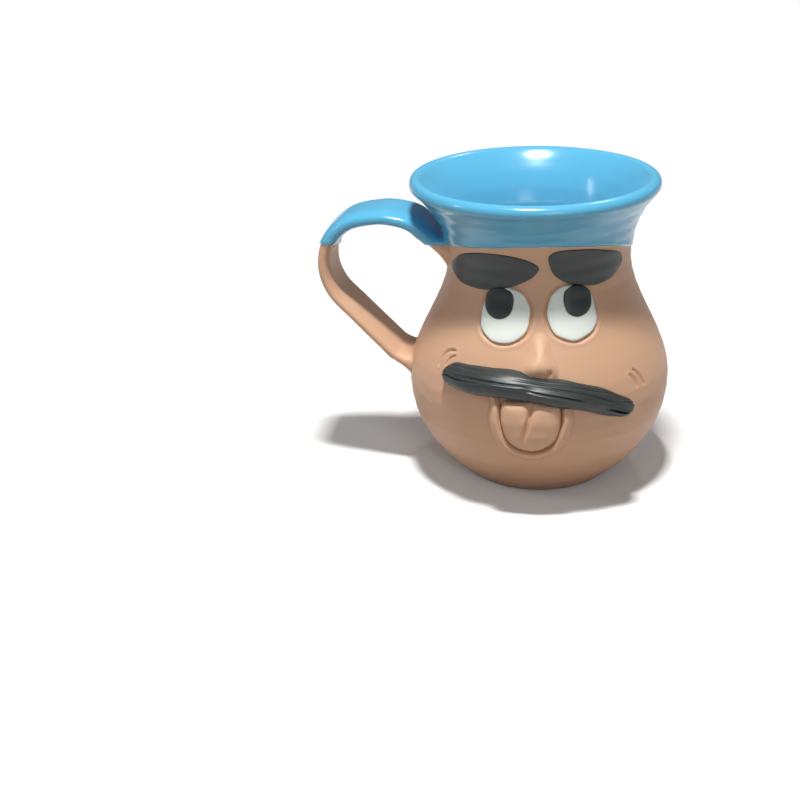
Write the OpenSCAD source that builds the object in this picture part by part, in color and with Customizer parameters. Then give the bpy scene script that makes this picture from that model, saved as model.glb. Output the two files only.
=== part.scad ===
// Clay mug with a moustached face: a thrown vessel with a glazed inside and collar,
// a pulled strap handle, and a face of applied clay pieces and thick slip.
// The origin is the centre of the foot. The face looks along -Y and the handle is on the -X side.

/* [Vessel] */
// Height of the clay from the foot to the top of the lip
height = 99.5; // [85:0.5:115]
// Outside width of the mouth at the lip
rim_d = 78.8; // [70:0.2:86]
// Outside width of the neck at its narrowest
neck_d = 58.8; // [52:0.2:64]
// Height of the narrowest place of the neck
neck_h = 74; // [70:0.5:80]
// Outside width of the bowl at its widest
belly_d = 85; // [76:0.5:94]
// Height of the widest place of the bowl
belly_h = 34.2; // [28:0.2:40]
// Width of the flat foot
foot_d = 45; // [36:0.5:56]
// Wall of the bowl
wall = 4.8; // [3.5:0.1:6]
// Wall of the neck and of the flared mouth
neck_wall = 3.2; // [2.4:0.1:4]
// Thickness of the rounded lip
lip_t = 3.5; // [3:0.1:4.5]
// Thickness of the floor
floor_t = 6; // [4:0.5:8]
// Radius inside, where the floor meets the wall
floor_corner = 7; // [4:0.5:10]

/* [Glaze] */
// Thickness of the glaze
glaze_t = 0.5; // [0.3:0.1:0.8]
// Height of the dip line at the middle of the mug
dip_h = 76.6; // [72:0.2:82]
// Tilt of the dip line, which is higher above the face
dip_tilt = 15.5; // [0:0.5:18]

/* [Handle] */
// Angle of the handle round the mug from the middle of the face
handle_angle = -95; // [-110:1:-85]
// Width of the strap
strap_w = 21; // [16:0.5:26]
// Thickness of the strap
strap_t = 4.2; // [3:0.1:6]
// How far the middle of the strap stands out from the neck
handle_reach = 40.5; // [34:0.5:48]
// Height of the lower root of the handle
handle_low = 34; // [28:0.5:38]
// Height from the lower root to the top of the handle
handle_rise = 52.6; // [46:0.2:58]
// Height of the middle of the upper root on the neck
upper_root_h = 75.5; // [72:0.5:79]
// Half height of the upper root
upper_root_half_h = 8; // [6:0.5:10]
// Height of the middle of the lower root on the bowl
lower_root_h = 37; // [31:0.2:40]
// Half height of the lower root
lower_root_half_h = 6.2; // [4:0.2:8]
// How far the roots spread beyond each edge of the strap
root_spread = 1.6; // [0.5:0.1:3]

/* [Brows and eyes] */
// Angle of each brow from the middle of the face, left then right
brow_angles = [-35, 33];
// Height of the middle of each brow, left then right
brow_heights = [76, 77.5];
// Half width of a brow along the clay, left then right
brow_half_w = [17.7, 14.5];
// Half height of a brow
brow_half_h = 6.3; // [4:0.1:7]
// Thickness of a brow
brow_t = 0.6; // [0.4:0.1:1.2]
// Angle of each eye from the middle of the face, left then right
eye_angles = [-19.2, 18.9];
// Height of the middle of each eye, left then right
eye_heights = [63.5, 64.4];
// Half width of an eye
eye_half_w = 7.8; // [6:0.1:8.2]
// Half height of an eye
eye_half_h = 8; // [6:0.1:8.6]
// Thickness of an eye
eye_t = 1; // [0.6:0.1:1.6]
// Angle of each pupil from the middle of the face, left then right
pupil_angles = [-22.9, 22.2];
// Height of the middle of each pupil, left then right
pupil_heights = [66.9, 67.7];
// Half width of a pupil
pupil_half_w = 4.5; // [3:0.1:5]
// Half height of a pupil
pupil_half_h = 4.6; // [3:0.1:5]
// Thickness of a pupil over the eye
pupil_t = 0.5; // [0.3:0.1:0.9]

/* [Nose and moustache] */
// Angle of the nose from the middle of the face
nose_angle = 0.6; // [-3:0.2:3]
// How far the middle of the nose is above the middle of the moustache
nose_above = 9.6; // [8:0.1:11]
// Half width of the nose
nose_half_w = 4.6; // [3:0.1:6]
// Half height of the nose
nose_half_h = 5.4; // [4:0.1:6]
// How far the tip of the nose stands out
nose_t = 3.2; // [2:0.1:4.5]
// Angle of the middle of the moustache
moustache_angle = -1.5; // [-8:0.5:5]
// Height of the middle of the moustache
moustache_h = 42.6; // [40:0.1:45]
// Half length of the moustache along the clay
moustache_half_l = 31; // [26:0.5:36]
// How far the left end of the moustache is above the right end
moustache_drop = 9; // [0:0.2:12]
// Half height of the moustache where it is thickest
moustache_half_h = 3.9; // [3:0.1:4.4]
// How far the moustache stands out
moustache_t = 4.8; // [3:0.1:6]

/* [Mouth] */
// Angle of the middle of the mouth
mouth_angle = -3; // [-8:0.5:4]
// How far the middle of the tongue is below the middle of the moustache
tongue_below = 11.3; // [10.5:0.1:12]
// Half width of the tongue
tongue_half_w = 8.5; // [6:0.1:9]
// Half height of the tongue
tongue_half_h = 7.9; // [6:0.1:9]
// Thickness of the tongue
tongue_t = 3.4; // [2:0.1:4.5]
// Width of the groove along the tongue
groove_w = 1.5; // [0.8:0.1:2.5]
// Depth of the groove
groove_depth = 1.2; // [0.6:0.1:1.6]
// Width of the coil that makes the lower lip
lip_coil_w = 2.6; // [2:0.1:3.4]
// How far the lower lip stands out
lip_coil_t = 3.2; // [2:0.1:4.5]
// Gap between the tongue and the lower lip
lip_gap = 0.3; // [0.2:0.1:0.6]

/* [Hidden] */
$fn = 240;
degrees_per_radian = 180 / PI;

foot_r = foot_d / 2;
belly_r = belly_d / 2;
neck_r = neck_d / 2;
rim_r = rim_d / 2;
nose_h = moustache_h + nose_above;
tongue_h = moustache_h - tongue_below;

// Centre of the rounding of the lip, and the angles at which it leaves the wall outside and inside
lip_r = rim_r - lip_t / 2;
lip_z = height - lip_t / 2;
lip_start = -45;
lip_end = lip_start + 180;
lip_steps = 14;
lip_outside_r = lip_r + lip_t / 2 * cos(lip_start);
lip_outside_z = lip_z + lip_t / 2 * sin(lip_start);
lip_inside_r = lip_r + lip_t / 2 * cos(lip_end);
lip_inside_z = lip_z + lip_t / 2 * sin(lip_end);
// Powers of the curves of the bowl and of the flare
bowl_power = 2.25;
flare_power = 2.35;
profile_steps = 34;
corner_steps = 6;
// How deep applied pieces run into the wall before they are cut to it
sink = 1;

// Radius of the outside of the clay at a height
function smooth_step(u) = 3 * pow(u, 2) - 2 * pow(u, 3);
function bowl_r(z) = belly_r - (belly_r - foot_r) * pow((belly_h - z) / belly_h, bowl_power);
function shoulder_r(z) = belly_r + (neck_r - belly_r) * smooth_step((z - belly_h) / (neck_h - belly_h));
function mouth_r(z) = neck_r + (lip_outside_r - neck_r) * pow((z - neck_h) / (lip_outside_z - neck_h), flare_power);
function outer_r(z) = z < belly_h ? bowl_r(max(z, 0)) : z < neck_h ? shoulder_r(z) : mouth_r(z);

// Lean of the flare at a height
function flare_lean(z) = z < neck_h ? 0
    : atan((lip_outside_r - neck_r) * flare_power / (lip_outside_z - neck_h)
        * pow((z - neck_h) / (lip_outside_z - neck_h), flare_power - 1));

// Level thickness of the wall at a height: it thins from the bowl to the neck, and widens with the flare
wall_power = 2;
top_wall = mouth_r(lip_inside_z) - lip_inside_r;
function wall_at(z) = z < belly_h ? wall
    : z > neck_h ? neck_wall + (top_wall - neck_wall) * pow((z - neck_h) / (lip_inside_z - neck_h), wall_power)
    : wall + (neck_wall - wall) * smooth_step((z - belly_h) / (neck_h - belly_h));

// Outlines of the section, from the foot up or from the lip down, grown by a coat
corner_top = floor_t + floor_corner;
function outside_points(from, grow) = [
    for (i = [0:profile_steps - 1]) let (z = from + (lip_outside_z - from) * i / profile_steps,
                                        a = flare_lean(z))
        [outer_r(z) + grow * cos(a), z - grow * sin(a)]];
function lip_points(start, end, grow) = [
    for (i = [0:lip_steps]) let (a = start + (end - start) * i / lip_steps)
        [lip_r + (lip_t / 2 + grow) * cos(a), lip_z + (lip_t / 2 + grow) * sin(a)]];
function inside_points(grow) = [
    for (i = [1:profile_steps]) let (z = lip_inside_z + (corner_top - lip_inside_z) * i / profile_steps,
                                    a = flare_lean(z))
        [outer_r(z) - wall_at(z) - grow * cos(a), z + grow * sin(a)]];
function corner_points(grow) = let (r = outer_r(corner_top) - wall_at(corner_top) - floor_corner) [
    for (i = [1:corner_steps]) let (a = 90 * i / corner_steps)
        [r + (floor_corner - grow) * cos(a), corner_top - (floor_corner - grow) * sin(a)]];
function backwards(list) = [for (i = [len(list) - 1:-1:0]) list[i]];

// Solid form of the vessel, filled to its axis
module vessel_form(grow = 0) {
    rotate_extrude()
        polygon(concat([[0, 0]], outside_points(0, grow), lip_points(lip_start, 90, grow),
                       [[0, height + grow]]));
}

// Everything under the tilted plane to which the mug was dipped
module below_dip() {
    reach = 2 * (height + handle_reach);
    translate([0, 0, dip_h]) rotate([-dip_tilt, 0, 0])
        translate([-reach / 2, -reach / 2, -reach]) cube(reach);
}

// A point at an angle round the mug and a height, standing out from the clay
function on_clay(angle, z, out) = let (r = outer_r(z) + out) [r * sin(angle), -r * cos(angle), z];
// Angle that a length along the clay takes at a height
function turn(length, z) = length / outer_r(z) * degrees_per_radian;

// Smooth curves through points, open or closed
function between(a, b, c, d, t) = (2 * b + (c - a) * t + (2 * a - 5 * b + 4 * c - d) * pow(t, 2)
    + (3 * b - a - 3 * c + d) * pow(t, 3)) / 2;
function open_curve(p, steps) = concat([
    for (i = [0:len(p) - 2]) for (k = [0:steps - 1])
        between(p[max(i - 1, 0)], p[i], p[i + 1], p[min(i + 2, len(p) - 1)], k / steps)],
    [p[len(p) - 1]]);
function closed_curve(p, steps) = let (n = len(p)) [
    for (i = [0:n - 1]) for (k = [0:steps - 1])
        between(p[(i + n - 1) % n], p[i], p[(i + 1) % n], p[(i + 2) % n], k / steps)];

// Closed solid through rings of equal count, with a tip beyond the first and the last
module loft(rings, first_tip, last_tip) {
    n = len(rings[0]);
    m = len(rings);
    polyhedron(
        points = concat([for (ring = rings) for (p = ring) p], [first_tip, last_tip]),
        faces = concat(
            [for (i = [0:m - 2]) for (j = [0:n - 1]) let (a = i * n + j, b = i * n + (j + 1) % n)
                each [[a, a + n, b + n], [a, b + n, b]]],
            [for (j = [0:n - 1]) [j, (j + 1) % n, m * n]],
            [for (j = [0:n - 1]) let (a = (m - 1) * n) [a + (j + 1) % n, a + j, m * n + 1]]));
}

// Applied pad: an outline of shares, scaled by its half sizes and laid on the clay.
// A low edge power gives a dome and a high one a flat pad. Lean thins its top and thickens its foot.
pad_ring_shares = [1, 0.98, 0.92, 0.78, 0.5];
pad_core_share = 0.5;
function pad_out(q, v, t, edge, lean) = t * pow(1 - pow(q, edge), 1 / edge) * (1 - lean * q * v);
module pad(angle, z, half_w, half_h, t, outline, edge = 4, lean = 0, base = 0, steps = 3) {
    shape = closed_curve(outline, steps);
    function ring(q, out) = [for (p = shape) let (pz = z + q * p[1] * half_h)
        on_clay(angle + turn(q * p[0] * half_w, z), pz, out ? pad_out(q, p[1], t, edge, lean) + base : -sink)];
    loft(concat([ring(1, false)], [for (q = pad_ring_shares) ring(q, true)]),
         [0, 0, z] + pad_core_share * (on_clay(angle, z, 0) - [0, 0, z]),
         on_clay(angle, z, t + base));
}

// Applied bar: rings across a path of angles and heights, with a half height and a stand-out each
bar_sides = 9;
bar_back_share = 0.7;
function bar_ring(p, slope, half_h, t) = let (
    across = [for (k = [0:bar_sides]) let (a = 180 * k / bar_sides) [half_h * cos(a), t * sin(a)]],
    back = [[-half_h * bar_back_share, -sink], [half_h * bar_back_share, -sink]])
    [for (q = concat(across, back))
        on_clay(p[0] + turn(-q[0] * sin(slope), p[1]), p[1] + q[0] * cos(slope), q[1])];
function path_slope(path, i) = let (
    a = path[max(i - 1, 0)], b = path[min(i + 1, len(path) - 1)],
    along = (b[0] - a[0]) / degrees_per_radian * outer_r(path[i][1]))
    atan2(b[1] - a[1], along);
module bar(path, half_heights, outs) {
    last = len(path) - 1;
    loft([for (i = [0:last]) bar_ring(path[i], path_slope(path, i), half_heights[i], outs[i])],
         on_clay(path[0][0], path[0][1], 0), on_clay(path[last][0], path[last][1], 0));
}

// Outlines as shares of the half width and half height, anticlockwise as seen from in front
left_brow_shares = [[1, 0.34], [0.88, 0.66], [0.52, 0.94], [0, 0.9], [-0.58, 0.44], [-0.98, -0.42],
                    [-0.62, -0.92], [-0.15, -1], [0.26, -0.86], [0.66, -0.5], [0.92, -0.06]];
right_brow_shares = [[1, 0.1], [0.6, 0.5], [0, 0.86], [-0.5, 1], [-0.86, 0.96], [-1, 0.62],
                     [-0.88, -0.18], [-0.6, -0.68], [-0.14, -0.94], [0.2, -1], [0.6, -0.84], [0.98, -0.4]];
left_eye_shares = [[1, 0.1], [0.72, 0.76], [0, 1], [-0.78, 0.72], [-1, -0.05], [-0.76, -0.7], [0, -1], [0.78, -0.68]];
left_pupil_shares = [[1, 0.08], [0.84, 0.74], [0, 1], [-0.84, 0.68], [-1, -0.1], [-0.62, -0.76], [0.1, -1], [0.78, -0.68]];
nose_shares = [[1, -0.6], [0.42, 0.1], [0.16, 0.8], [0, 1], [-0.16, 0.8], [-0.42, 0.1], [-1, -0.6], [-0.7, -0.98],
               [0, -1], [0.7, -0.98]];
tongue_shares = [[1, 0.1], [0.96, 0.9], [0.6, 1], [-0.6, 1], [-0.98, 0.9], [-1, 0.1], [-0.72, -0.66],
                 [0, -1], [0.72, -0.66]];
function mirrored(outline) = backwards([for (p = outline) [-p[0], p[1]]]);

module clay_body() {
    color("#c98a5e")
        rotate_extrude()
            polygon(concat([[0, 0]], outside_points(0, 0), lip_points(lip_start, lip_end, 0),
                           inside_points(0), corner_points(0), [[0, floor_t]]));
}

// Lining of the inside, up to the crest of the lip
module lining() {
    rotate_extrude()
        polygon(concat([[0, floor_t]], backwards(corner_points(0)), backwards(inside_points(0)),
                       backwards(lip_points(90, lip_end, 0)), lip_points(90, lip_end, glaze_t),
                       inside_points(glaze_t), corner_points(glaze_t), [[0, floor_t + glaze_t]]));
}

// Coat outside, from the widest place of the bowl up to the crest of the lip
module collar_coat() {
    rotate_extrude()
        polygon(concat(outside_points(belly_h, 0), lip_points(lip_start, 90, 0),
                       backwards(lip_points(lip_start, 90, glaze_t)),
                       backwards(outside_points(belly_h, glaze_t))));
}

module glaze_coat() {
    color("#3f9fd0")
        difference() {
            union() {
                lining();
                difference() {
                    collar_coat();
                    below_dip();
                }
            }
            strap_form();
        }
}

// Middle line of the free strap, as shares of its reach from the neck and of its rise
handle_path_shares = [[0.2, 0.915], [0.27, 0.96], [0.38, 0.99], [0.56, 1], [0.8, 0.955], [0.955, 0.835],
                      [1, 0.67], [0.93, 0.51], [0.755, 0.365], [0.52, 0.182], [0.44, 0.12]];
strap_sides = 16;
strap_path_steps = 2;
root_steps = 4;
// Powers that square the section: broad flat faces with round edges
strap_flat_power = 0.5;
strap_edge_power = 0.85;
function signed_pow(v, p) = sign(v) * pow(abs(v), p);
strap_section = [for (k = [0:strap_sides - 1]) let (a = 360 * k / strap_sides)
    [signed_pow(cos(a), strap_flat_power), signed_pow(sin(a), strap_edge_power)]];
function strap_ring(p, along, half_w, half_t) = let (
    radial = [sin(handle_angle), -cos(handle_angle), 0],
    across = [cos(handle_angle), sin(handle_angle), 0],
    outward = [-along[1], along[0]] / norm(along) * half_t)
    [for (q = strap_section)
        radial * (p[0] + outward[0] * q[1]) + across * half_w * q[0] + [0, 0, p[1] + outward[1] * q[1]]];
// The same section laid on the clay round a height, upright or, at the lower root, upside down
function root_ring(z, half_w, half_h, out) = [for (q = strap_section)
    on_clay(handle_angle + turn(q[0] * half_w, z), z + q[1] * half_h, out)];
// Rings that leave the strap along its middle line and spread out over the clay
function root_rings(strap, inner, foot) = [for (i = [1:root_steps]) let (t = i / root_steps)
    pow(1 - t, 2) * strap + 2 * t * (1 - t) * inner + pow(t, 2) * foot];
function strap_root(strap, z, half_h, grow) = root_rings(strap,
    root_ring(z, strap_w / 2 + grow, sign(half_h) * (strap_t / 2 + grow), grow),
    root_ring(z, strap_w / 2 + root_spread + grow, half_h + sign(half_h) * grow, grow - sink));
module strap_form(grow = 0) {
    path = open_curve([for (p = handle_path_shares)
        [neck_r + p[0] * handle_reach, handle_low + p[1] * handle_rise]], strap_path_steps);
    last = len(path) - 1;
    free = [for (i = [0:last]) strap_ring(path[i], path[min(i + 1, last)] - path[max(i - 1, 0)],
        strap_w / 2 + grow, strap_t / 2 + grow)];
    upper = strap_root(free[0], upper_root_h, upper_root_half_h, grow);
    lower = strap_root(free[last], lower_root_h, -lower_root_half_h, grow);
    loft(concat(backwards(upper), free, lower), middle(upper[root_steps - 1]), middle(lower[root_steps - 1]));
}
function middle(ring) = (ring[0] + ring[len(ring) / 2]) / 2;

module handle_strap() {
    color("#c98a5e")
        difference() {
            strap_form();
            vessel_form();
        }
}

module handle_glaze() {
    color("#3f9fd0")
        difference() {
            strap_form(glaze_t);
            strap_form();
            vessel_form(glaze_t);
            below_dip();
        }
}

module nose() {
    color("#c98a5e")
        difference() {
            pad(nose_angle, nose_h, nose_half_w, nose_half_h, nose_t, nose_shares, 2, 0.9);
            vessel_form();
            moustache_form();
        }
}

// Middle line of the moustache, as shares of its half length and of its drop, with its swell
moustache_path_shares = [[-1, 0.14], [-0.97, 0.155], [-0.85, 0.19], [-0.6, 0.2], [-0.3, 0.18], [0, 0.1],
                         [0.3, -0.1], [0.6, -0.42], [0.85, -0.78], [0.97, -0.9], [1, -0.93]];
moustache_swell_shares = [0.3, 0.62, 0.88, 1, 1, 0.98, 1, 0.98, 0.86, 0.62, 0.3];
moustache_steps = 2;
module moustache_form() {
    path = open_curve([for (p = moustache_path_shares)
        [moustache_angle + turn(p[0] * moustache_half_l, moustache_h), moustache_h + p[1] * moustache_drop]],
        moustache_steps);
    swell = open_curve(moustache_swell_shares, moustache_steps);
    bar(path, swell * moustache_half_h, swell * moustache_t);
}
module moustache() {
    color("#2d3532")
        difference() {
            moustache_form();
            vessel_form();
        }
}

// The lower lip runs round the tongue from corner to corner
lip_half_w = tongue_half_w + lip_gap + lip_coil_w / 2;
lip_half_h = tongue_half_h + lip_gap + lip_coil_w / 2;
lip_path_shares = [[-1.22, 1.06], [-1.04, 0.72], [-1, 0.1], [-0.72, -0.68], [0, -1], [0.72, -0.68], [1, 0.1],
                   [1.02, 0.66], [1.12, 0.96]];
lip_swell_shares = [0.35, 0.8, 1, 1, 1, 1, 1, 0.85, 0.4];
lip_path_steps = 3;
module lower_lip() {
    path = open_curve([for (p = lip_path_shares)
        [mouth_angle + turn(p[0] * lip_half_w, tongue_h), tongue_h + p[1] * lip_half_h]], lip_path_steps);
    swell = open_curve(lip_swell_shares, lip_path_steps);
    color("#c98a5e")
        difference() {
            bar(path, swell * lip_coil_w / 2, swell * lip_coil_t);
            vessel_form();
            moustache_form();
        }
}

// The groove runs from under the moustache down the tongue, a little aslant
groove_lean = 16;
module groove() {
    rotate([0, 0, mouth_angle]) translate([0, -outer_r(tongue_h) - tongue_t, tongue_h + tongue_half_h / 2])
        rotate([0, groove_lean, 0])
            cube([groove_w, 2 * groove_depth, 2 * tongue_half_h], center = true);
}

module tongue() {
    color("#cf9068")
        difference() {
            pad(mouth_angle, tongue_h, tongue_half_w, tongue_half_h, tongue_t, tongue_shares, 4, 0.1);
            vessel_form();
            groove();
            moustache_form();
        }
}

module eye_form(side) {
    pad(eye_angles[side], eye_heights[side], eye_half_w, eye_half_h, eye_t,
        side == 0 ? left_eye_shares : mirrored(left_eye_shares));
}
module pupil_form(side) {
    pad(pupil_angles[side], pupil_heights[side], pupil_half_w, pupil_half_h, pupil_t,
        side == 0 ? left_pupil_shares : mirrored(left_pupil_shares), 4, 0, eye_t);
}
module brow_form(side) {
    pad(brow_angles[side], brow_heights[side], brow_half_w[side], brow_half_h, brow_t,
        side == 0 ? left_brow_shares : right_brow_shares);
}

module eye(side) {
    color("#e9f2ea")
        difference() {
            eye_form(side);
            vessel_form();
            brow_form(side);
        }
}
module pupil(side) {
    color("#2d3532")
        difference() {
            pupil_form(side);
            eye_form(side);
            vessel_form();
            brow_form(side);
        }
}
module brow(side) {
    color("#2d3532")
        difference() {
            brow_form(side);
            vessel_form();
        }
}

clay_body();
glaze_coat();
handle_strap();
handle_glaze();
nose();
moustache();
lower_lip();
tongue();
eye(0);  // left_eye
eye(1);  // right_eye
pupil(0);  // left_pupil
pupil(1);  // right_pupil
brow(0);  // left_brow
brow(1);  // right_brow
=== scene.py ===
"""Looks of a hand-thrown clay mug with a glazed mouth, a strap handle and a moustached face."""

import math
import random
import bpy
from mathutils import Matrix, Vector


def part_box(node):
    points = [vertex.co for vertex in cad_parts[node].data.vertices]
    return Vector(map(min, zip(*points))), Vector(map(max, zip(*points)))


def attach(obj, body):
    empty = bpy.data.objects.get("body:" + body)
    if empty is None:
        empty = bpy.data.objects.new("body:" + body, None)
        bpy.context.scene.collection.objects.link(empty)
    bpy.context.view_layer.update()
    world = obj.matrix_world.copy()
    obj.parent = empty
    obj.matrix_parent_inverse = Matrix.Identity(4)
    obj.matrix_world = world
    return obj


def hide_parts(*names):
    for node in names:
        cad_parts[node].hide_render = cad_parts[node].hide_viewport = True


bl_info = {
    "name": "Moustached Clay Mug",
    "version": (1, 0, 0),
    "blender": (4, 5, 0),
    "location": "View3D > Sidebar > Clay Mug",
    "description": "Throws, glazes and decorates a clay mug with an applied face around its packed frame",
    "category": "Object",
}

import bpy
import numpy as np
from bpy.props import FloatProperty, FloatVectorProperty, IntProperty, PointerProperty
from mathutils import Matrix, Vector

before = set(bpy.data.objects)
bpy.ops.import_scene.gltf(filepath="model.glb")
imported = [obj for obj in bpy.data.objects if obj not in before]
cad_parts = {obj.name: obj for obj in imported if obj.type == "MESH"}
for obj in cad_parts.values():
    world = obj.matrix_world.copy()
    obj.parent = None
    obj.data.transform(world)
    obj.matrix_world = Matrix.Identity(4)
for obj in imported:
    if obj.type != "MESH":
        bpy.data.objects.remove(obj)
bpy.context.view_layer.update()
MM = 0.001
BODY = "root"
_, CLAY_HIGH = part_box("clay_body")


def length(value, text):
    """A size in metres that a user may change."""
    return FloatProperty(description=text, default=value, min=0.0, unit="LENGTH", precision=5)


def angle(degrees, text):
    """An angle round the mug or of a tilt, in degrees."""
    return FloatProperty(description=text, default=degrees)


def pair(values, text):
    """A size in millimetres or degrees for the left and the right piece."""
    return FloatVectorProperty(description=text, default=values, size=2)


def count(value, text, least=1):
    """How many of something there are."""
    return IntProperty(description=text, default=value, min=least)


def paint(value, text):
    """A colour that a user may change."""
    return FloatVectorProperty(description=text, default=value, size=3, subtype="COLOR", min=0.0, max=1.0)


class VesselSizes(bpy.types.PropertyGroup):
    """Sizes of the thrown vessel"""

    height: length(CLAY_HIGH.z, "Height of the clay from foot to lip")
    rim_width: length(78.8 * MM, "Outside width of the clay at the lip")
    neck_width: length(58.8 * MM, "Outside width of the neck")
    neck_height: length(74.0 * MM, "Height of the narrowest place of the neck")
    belly_width: length(85.0 * MM, "Outside width of the bowl")
    belly_height: length(34.2 * MM, "Height of the widest place of the bowl")
    foot_width: length(45.0 * MM, "Width of the flat foot")
    foot_round: length(0.8 * MM, "Rounding at the edge of the foot")
    wall: length(4.8 * MM, "Wall of the bowl")
    neck_wall: length(3.2 * MM, "Wall of the neck and the mouth")
    lip: length(3.5 * MM, "Thickness of the rounded lip")
    floor: length(6.0 * MM, "Thickness of the floor")
    floor_corner: length(7.0 * MM, "Radius between floor and wall inside")
    ovality: length(0.22 * MM, "How far the thrown wall is from round")
    lean: length(2.1 * MM, "How far the mouth leans towards the handle")
    ring_depth: length(0.07 * MM, "Depth of the rings left by the fingers")
    ring_pitch: length(4.6 * MM, "Distance between two rings")
    columns: count(470, "Faces round the vessel", least=24)


class GlazeSizes(bpy.types.PropertyGroup):
    """Sizes of the glaze"""

    thickness: length(0.5 * MM, "Thickness of the glaze")
    dip_height: length(76.6 * MM, "Height of the dip line on the axis")
    dip_tilt: angle(15.5, "Tilt of the dip line, higher above the face")
    edge: length(0.9 * MM, "Length over which the glaze thins out at its edge")
    waver: length(0.3 * MM, "How far the edge wanders up and down")


class HandleSizes(bpy.types.PropertyGroup):
    """Sizes of the strap handle"""

    turn: angle(-95.0, "Angle of the handle from the middle of the face")
    width: length(21.0 * MM, "Width of the strap")
    thickness: length(4.2 * MM, "Thickness of the strap")
    reach: length(40.5 * MM, "How far the strap stands out from the neck")
    low: length(34.0 * MM, "Height of the lower root")
    rise: length(52.6 * MM, "Height from the lower root to the top")
    upper_root: length(75.5 * MM, "Height of the middle of the upper root")
    upper_spread: length(8.0 * MM, "Half height of the upper root")
    lower_root: length(37.0 * MM, "Height of the middle of the lower root")
    lower_spread: length(6.2 * MM, "Half height of the lower root")
    side_spread: length(1.6 * MM, "How far the roots spread beyond the strap's edges")
    sink: length(1.0 * MM, "How deep applied clay runs into the wall")


class FaceSizes(bpy.types.PropertyGroup):
    """Sizes of the applied face. Angles are from its middle, and pairs are left and right"""

    brow_angles: pair((-35.0, 33.0), "Angle of each brow")
    brow_heights: pair((76.0, 77.5), "Height of each brow in millimetres")
    brow_half_widths: pair((17.7, 14.5), "Half width of each brow in millimetres")
    brow_half_height: length(6.3 * MM, "Half height of a brow")
    brow_thickness: length(0.6 * MM, "Thickness of a brow")
    eye_angles: pair((-19.2, 18.9), "Angle of each eye")
    eye_heights: pair((63.5, 64.4), "Height of each eye in millimetres")
    eye_half_width: length(7.8 * MM, "Half width of an eye")
    eye_half_height: length(8.0 * MM, "Half height of an eye")
    eye_thickness: length(1.0 * MM, "Thickness of an eye")
    pupil_angles: pair((-22.9, 22.2), "Angle of each pupil")
    pupil_heights: pair((66.9, 67.7), "Height of each pupil in millimetres")
    pupil_half_width: length(4.5 * MM, "Half width of a pupil")
    pupil_half_height: length(4.6 * MM, "Half height of a pupil")
    pupil_thickness: length(0.5 * MM, "Thickness of a pupil over the eye")
    nose_angle: angle(0.6, "Angle of the nose")
    nose_height: length(52.2 * MM, "Height of the middle of the nose")
    nose_half_width: length(4.8 * MM, "Half width of the nose")
    nose_half_height: length(5.6 * MM, "Half height of the nose")
    nose_thickness: length(3.4 * MM, "How far the tip of the nose stands out")
    moustache_angle: angle(-1.5, "Angle of the middle of the moustache")
    moustache_height: length(42.6 * MM, "Height of the middle of the moustache")
    moustache_half_length: length(31.0 * MM, "Half length along the clay")
    moustache_drop: length(9.0 * MM, "How far its left end is above its right end")
    moustache_half_height: length(3.9 * MM, "Half height where it is thickest")
    moustache_thickness: length(4.8 * MM, "How far it stands out")
    tool_marks: count(17, "Strokes of the tool along the moustache")
    tool_depth: length(0.6 * MM, "Depth of the deepest stroke")
    mouth_angle: angle(-3.0, "Angle of the middle of the mouth")
    tongue_height: length(31.3 * MM, "Height of the middle of the tongue")
    tongue_half_width: length(8.5 * MM, "Half width of the tongue")
    tongue_half_height: length(7.9 * MM, "Half height of the tongue")
    tongue_thickness: length(3.4 * MM, "Thickness of the tongue")
    lip_coil: length(2.6 * MM, "Width of the coil of the lower lip")
    lip_thickness: length(3.2 * MM, "How far the lower lip stands out")
    lip_gap: length(0.3 * MM, "Gap between tongue and lower lip")
    cut_width: length(0.36 * MM, "Half width of an incised line")
    cut_depth: length(0.7 * MM, "Depth of an incised line")


class Finishes(bpy.types.PropertyGroup):
    """Colours of the clay, the glaze and the slips"""

    clay: paint((0.58, 0.345, 0.155), "Fired clay")
    clay_warm: paint((0.58, 0.30, 0.10), "Clay where the kiln was hotter")
    clay_pale: paint((0.68, 0.50, 0.33), "Dry scum on the clay")
    # Painted light: this cooler clay colour is laid over the right side for the cooler light that falls there
    clay_painted_cool_light: paint((0.54, 0.355, 0.21), "Clay where the kiln was cooler")
    # Painted shade in cuts, pits, the nostril and the tongue's slit; also the clay's own darker tone along
    # its streaks and grain
    clay_dark: paint((0.07, 0.035, 0.02), "Bottom of cuts and pits")
    glaze: paint((0.014, 0.25, 0.435), "Blue glaze where it is thick")
    glaze_thin: paint((0.10, 0.41, 0.60), "Blue glaze where it breaks over an edge")
    dark_slip: paint((0.030, 0.044, 0.044), "Dark slip of brows, pupils and moustache")
    dark_slip_worn: paint((0.085, 0.105, 0.10), "Dark slip where it is thin or rubbed")
    white_slip: paint((0.90, 0.95, 0.90), "White slip of the eyes")


class StageSizes(bpy.types.PropertyGroup):
    """Camera, light and floor"""

    camera_distance: length(510.7 * MM, "Distance from the camera to its target")
    target_height: length(47.9 * MM, "Height of the camera's target on the axis")
    elevation: angle(20.008, "Angle of the camera above the floor")
    yaw: angle(5.121, "Turn of the camera that moves the mug to the right of the picture")
    pitch: angle(-2.626, "Tilt of the camera that lifts the mug in the picture")
    roll: angle(0.36, "Roll of the camera")
    lens: FloatProperty(default=69.53, description="Focal length in millimetres on a sensor 36 mm wide")
    floor_size: length(3.0, "Width of the floor")


SETTINGS = {
    "mug_vessel": VesselSizes,
    "mug_glaze": GlazeSizes,
    "mug_handle": HandleSizes,
    "mug_face": FaceSizes,
    "mug_finish": Finishes,
    "mug_stage": StageSizes,
}


def sizes(group):
    return getattr(bpy.context.scene, group)


# Shape of the thrown wall

LIP_START = math.radians(-45)
LIP_END = LIP_START + math.pi
BOWL_POWER = 2.25
FLARE_POWER = 2.35
WALL_POWER = 2
LEAN_POWER = 2.3
LEAN_START = 55 * MM


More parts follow.
